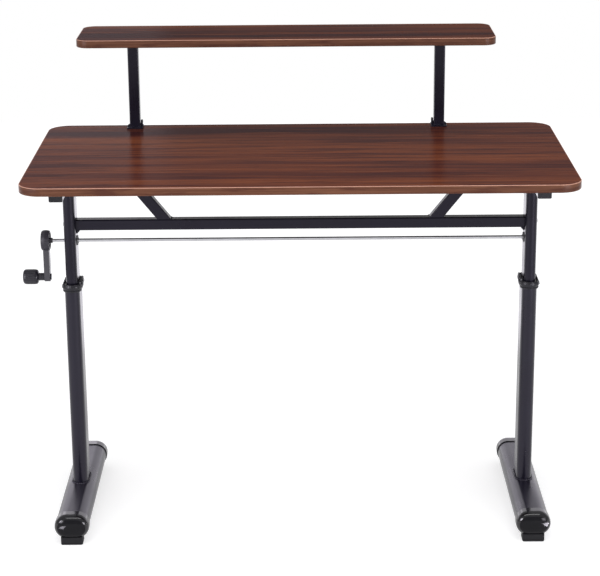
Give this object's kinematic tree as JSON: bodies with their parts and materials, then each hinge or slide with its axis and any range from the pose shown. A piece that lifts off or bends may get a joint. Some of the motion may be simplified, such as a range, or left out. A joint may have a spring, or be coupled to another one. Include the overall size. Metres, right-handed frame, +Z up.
{
  "type": "height-adjustable desk",
  "caption": "Hand-cranked height-adjustable desk with T-shaped telescopic legs, a wood-grain top and a raised rear shelf.",
  "frame": {"origin": "on the floor, under the middle of the whole outline box", "axes": "+X to the right as seen from the front, with the crank at -X; +Y to the back, where the shelf stands; +Z up"},
  "size_m": [1.239, 0.676, 1.084],
  "materials": {
    "top_laminate": "satin wood-grain laminate",
    "edge_laminate": "satin laminate edge band",
    "black_powder_coat": "semi-gloss fine-textured black powder coat",
    "cap_plastic": "glossy black moulded plastic",
    "black_plastic": "satin black moulded plastic",
    "pad_rubber": "dull black rubber",
    "zinc_steel": "zinc-plated steel",
    "bare_steel": "oiled bare steel",
    "nylon": "natural nylon",
    "brass": "machined brass"
  },
  "bodies": {
    "base": {"left_foot_tube": "black_powder_coat", "right_foot_tube": "black_powder_coat", "left_foot_caps": "cap_plastic", "right_foot_caps": "cap_plastic", "foot_pads": "pad_rubber", "left_lower_tube": "black_powder_coat", "right_lower_tube": "black_powder_coat", "leg_base_plates": "bare_steel", "foot_bolts": "zinc_steel", "left_guide_sleeve": "nylon", "right_guide_sleeve": "nylon", "left_clamp_collar": "black_plastic", "right_clamp_collar": "black_plastic", "lever_pins": "zinc_steel", "left_nut_tube": "bare_steel", "right_nut_tube": "bare_steel", "left_lead_nut": "brass", "right_lead_nut": "brass"},
    "left_lever": {"left_lock_lever": "black_plastic"},
    "right_lever": {"right_lock_lever": "black_plastic"},
    "top_frame": {"left_upper_tube": "black_powder_coat", "right_upper_tube": "black_powder_coat", "left_slide_block": "nylon", "right_slide_block": "nylon", "leg_top_plates": "black_powder_coat", "top_plate_bolts": "zinc_steel", "left_side_rail": "black_powder_coat", "right_side_rail": "black_powder_coat", "rail_end_plugs": "black_plastic", "crossbar": "black_powder_coat", "crossbar_end_blocks": "zinc_steel", "crossbar_bolts": "zinc_steel", "crossbar_gussets": "black_powder_coat", "left_brace": "black_powder_coat", "right_brace": "black_powder_coat", "desktop": "top_laminate", "desktop_edge_band": "edge_laminate", "desktop_screws": "zinc_steel", "shelf": "top_laminate", "shelf_edge_band": "edge_laminate", "left_shelf_post": "black_powder_coat", "right_shelf_post": "black_powder_coat", "post_screws": "zinc_steel", "shelf_screws": "zinc_steel", "left_gear_housing": "black_plastic", "right_gear_housing": "black_plastic", "thrust_bearings": "bare_steel", "rod_bushes": "nylon"},
    "crank": {"crank_rod": "zinc_steel", "left_rod_gear": "bare_steel", "right_rod_gear": "bare_steel", "crank_hub": "black_plastic", "crank_arm": "black_powder_coat", "knob_pin": "zinc_steel"},
    "knob": {"crank_knob": "black_plastic"},
    "left_screw": {"left_lead_screw": "bare_steel", "left_screw_gear": "bare_steel"},
    "right_screw": {"right_lead_screw": "bare_steel", "right_screw_gear": "bare_steel"}
  },
  "joints": [
    {"name": "lift", "type": "slide", "parent": "base", "child": "top_frame", "axis": [0, 0, 1], "range_m": [-0.07, 0.25]},
    {"name": "crank_turn", "type": "hinge", "parent": "top_frame", "child": "crank", "pos_m": [-0.5055, -0.038, 0.655], "axis": [1, 0, 0], "range_deg": [-5040, 18000]},
    {"name": "left_screw_turn", "type": "hinge", "parent": "top_frame", "child": "left_screw", "pos_m": [-0.5055, -0.038, 0.4], "axis": [0, 0, 1], "range_deg": [-5040, 18000]},
    {"name": "right_screw_turn", "type": "hinge", "parent": "top_frame", "child": "right_screw", "pos_m": [0.5445, -0.038, 0.4], "axis": [0, 0, 1], "range_deg": [-18000, 5040]},
    {"name": "knob_spin", "type": "hinge", "parent": "crank", "child": "knob", "pos_m": [-0.6, -0.038, 0.568], "axis": [1, 0, 0], "continuous": true},
    {"name": "left_lever_swing", "type": "hinge", "parent": "base", "child": "left_lever", "pos_m": [-0.4869, -0.048, 0.558], "axis": [0, 1, 0], "range_deg": [0, 80]},
    {"name": "right_lever_swing", "type": "hinge", "parent": "base", "child": "right_lever", "pos_m": [0.5259, -0.048, 0.558], "axis": [0, -1, 0], "range_deg": [0, 80]}
  ],
  "couplings": [
    {"joint": "lift", "follows": "crank_turn", "m_per_rad": 0.00079577},
    {"joint": "left_screw_turn", "follows": "crank_turn", "ratio": 1},
    {"joint": "right_screw_turn", "follows": "crank_turn", "ratio": -1}
  ]
}
